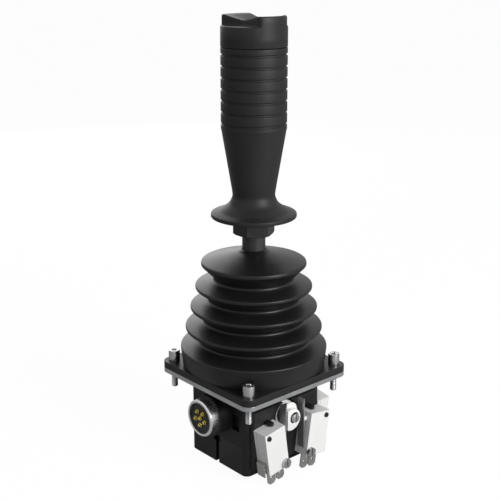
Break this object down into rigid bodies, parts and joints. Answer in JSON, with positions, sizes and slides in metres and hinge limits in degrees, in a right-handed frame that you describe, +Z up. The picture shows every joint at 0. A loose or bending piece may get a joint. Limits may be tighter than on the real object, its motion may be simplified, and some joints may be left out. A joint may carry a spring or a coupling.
{
  "type": "industrial joystick",
  "caption": "Panel-mounted two-axis joystick: grooved grip with a twist cap, rubber gaiter, square flange, round connector and snap-action switches worked by cams",
  "frame": {"origin": "centre of the four fixing screws, on the underside of the mounting plate", "axes": "+Z up along the lever, -Y towards the connector, +X towards the first pair of switches"},
  "size_m": [0.0896, 0.0896, 0.2736],
  "materials": {
    "plate_aluminium": "brushed",
    "black_plastic": "fine moulded texture",
    "grip_plastic": "satin moulded",
    "gaiter_rubber": "matt rubber",
    "steel": "zinc plated",
    "dark_steel": "black oxide",
    "frame_metal": "die cast",
    "bright_shell": "nickel plated",
    "gold_contact": "gold plated",
    "bush_bronze": "sintered bronze",
    "white_plastic": "nylon",
    "switch_case": "satin",
    "terminal_metal": "tinned or plain spring steel"
  },
  "bodies": {
    "housing": {"mounting_plate": "plate_aluminium", "gaiter_flange": "black_plastic", "flange_screws": "steel", "gaiter": "gaiter_rubber", "housing_body": "black_plastic", "housing_cover": "black_plastic", "cover_screws": "steel", "axle_bushes": "bush_bronze", "connector_shell": "bright_shell", "connector_insert": "black_plastic", "connector_pins": "gold_contact", "x_switch_pad": "black_plastic", "y_switch_pad": "black_plastic", "x_return_spring": "steel", "y_return_spring": "steel", "switch_screws": "steel", "x_left_switch_case": "switch_case", "x_left_switch_terminals": "terminal_metal", "x_right_switch_case": "switch_case", "x_right_switch_terminals": "terminal_metal", "y_left_switch_case": "switch_case", "y_left_switch_terminals": "terminal_metal", "y_right_switch_case": "switch_case", "y_right_switch_terminals": "terminal_metal"},
    "gimbal": {"cross_frame": "frame_metal", "pivot_pin": "steel", "x_axles": "steel", "x_cam": "white_plastic", "x_cam_hub": "black_plastic", "x_cam_disc": "white_plastic", "x_cam_screw": "steel"},
    "yoke": {"bail": "frame_metal", "y_axles": "steel", "y_cam": "white_plastic", "y_cam_hub": "black_plastic", "y_cam_disc": "white_plastic", "y_cam_screw": "steel"},
    "lever": {"lever_rod": "dark_steel", "pivot_block": "frame_metal", "lock_nut": "dark_steel", "grip": "grip_plastic", "twist_sensor": "black_plastic", "cap_bearing": "white_plastic"},
    "cap": {"twist_cap": "grip_plastic", "cap_shaft": "steel"},
    "x_left_switch_blade": {"x_left_switch_lever": "terminal_metal"},
    "x_left_switch_button": {"x_left_switch_plunger": "white_plastic"},
    "x_right_switch_blade": {"x_right_switch_lever": "terminal_metal"},
    "x_right_switch_button": {"x_right_switch_plunger": "white_plastic"},
    "y_left_switch_blade": {"y_left_switch_lever": "terminal_metal"},
    "y_left_switch_button": {"y_left_switch_plunger": "white_plastic"},
    "y_right_switch_blade": {"y_right_switch_lever": "terminal_metal"},
    "y_right_switch_button": {"y_right_switch_plunger": "white_plastic"}
  },
  "joints": [
    {"name": "tilt_x", "type": "hinge", "parent": "housing", "child": "gimbal", "pos_m": [0, 0, -0.0175], "axis": [1, 0, 0], "range_deg": [-20, 20], "stiffness_Nm_per_rad": 3, "deforming": ["gaiter", "x_return_spring"]},
    {"name": "tilt_y", "type": "hinge", "parent": "gimbal", "child": "lever", "pos_m": [0, 0, -0.0175], "axis": [0, 1, 0], "range_deg": [-20, 20], "stiffness_Nm_per_rad": 3, "deforming": ["gaiter"]},
    {"name": "bail_turn", "type": "hinge", "parent": "housing", "child": "yoke", "pos_m": [0, 0, -0.0175], "axis": [0, 1, 0], "range_deg": [-20, 20], "deforming": ["y_return_spring"]},
    {"name": "cap_twist", "type": "hinge", "parent": "lever", "child": "cap", "pos_m": [0, 0, 0.1996], "axis": [0, 0, 1], "range_deg": [-30, 30], "stiffness_Nm_per_rad": 0.1},
    {"name": "x_left_switch_lever_swing", "type": "hinge", "parent": "housing", "child": "x_left_switch_blade", "pos_m": [0.035, -0.0086, -0.0399], "axis": [1, 0, 0], "range_deg": [-1.2, 1.2]},
    {"name": "x_left_switch_plunger_slide", "type": "slide", "parent": "housing", "child": "x_left_switch_button", "axis": [0, -0.989, -0.1478], "range_m": [-0.0004, 0.0004]},
    {"name": "x_right_switch_lever_swing", "type": "hinge", "parent": "housing", "child": "x_right_switch_blade", "pos_m": [0.035, 0.0086, -0.0399], "axis": [1, 0, 0], "range_deg": [-1.2, 1.2]},
    {"name": "x_right_switch_plunger_slide", "type": "slide", "parent": "housing", "child": "x_right_switch_button", "axis": [0, 0.989, -0.1478], "range_m": [-0.0004, 0.0004]},
    {"name": "y_left_switch_lever_swing", "type": "hinge", "parent": "housing", "child": "y_left_switch_blade", "pos_m": [0.0086, 0.035, -0.0399], "axis": [0, 1, 0], "range_deg": [-1.2, 1.2]},
    {"name": "y_left_switch_plunger_slide", "type": "slide", "parent": "housing", "child": "y_left_switch_button", "axis": [0.989, 0, -0.1478], "range_m": [-0.0004, 0.0004]},
    {"name": "y_right_switch_lever_swing", "type": "hinge", "parent": "housing", "child": "y_right_switch_blade", "pos_m": [-0.0086, 0.035, -0.0399], "axis": [0, 1, 0], "range_deg": [-1.2, 1.2]},
    {"name": "y_right_switch_plunger_slide", "type": "slide", "parent": "housing", "child": "y_right_switch_button", "axis": [-0.989, 0, -0.1478], "range_m": [-0.0004, 0.0004]}
  ],
  "couplings": [
    {"joint": "bail_turn", "follows": "tilt_y", "ratio": 1},
    {"joint": "x_left_switch_lever_swing", "follows": "tilt_x", "ratio": -0.056},
    {"joint": "x_left_switch_plunger_slide", "follows": "tilt_x", "m_per_rad": -0.00107},
    {"joint": "x_right_switch_lever_swing", "follows": "tilt_x", "ratio": -0.056},
    {"joint": "x_right_switch_plunger_slide", "follows": "tilt_x", "m_per_rad": 0.00107},
    {"joint": "y_left_switch_lever_swing", "follows": "tilt_y", "ratio": -0.056},
    {"joint": "y_left_switch_plunger_slide", "follows": "tilt_y", "m_per_rad": -0.00107},
    {"joint": "y_right_switch_lever_swing", "follows": "tilt_y", "ratio": -0.056},
    {"joint": "y_right_switch_plunger_slide", "follows": "tilt_y", "m_per_rad": 0.00107}
  ]
}
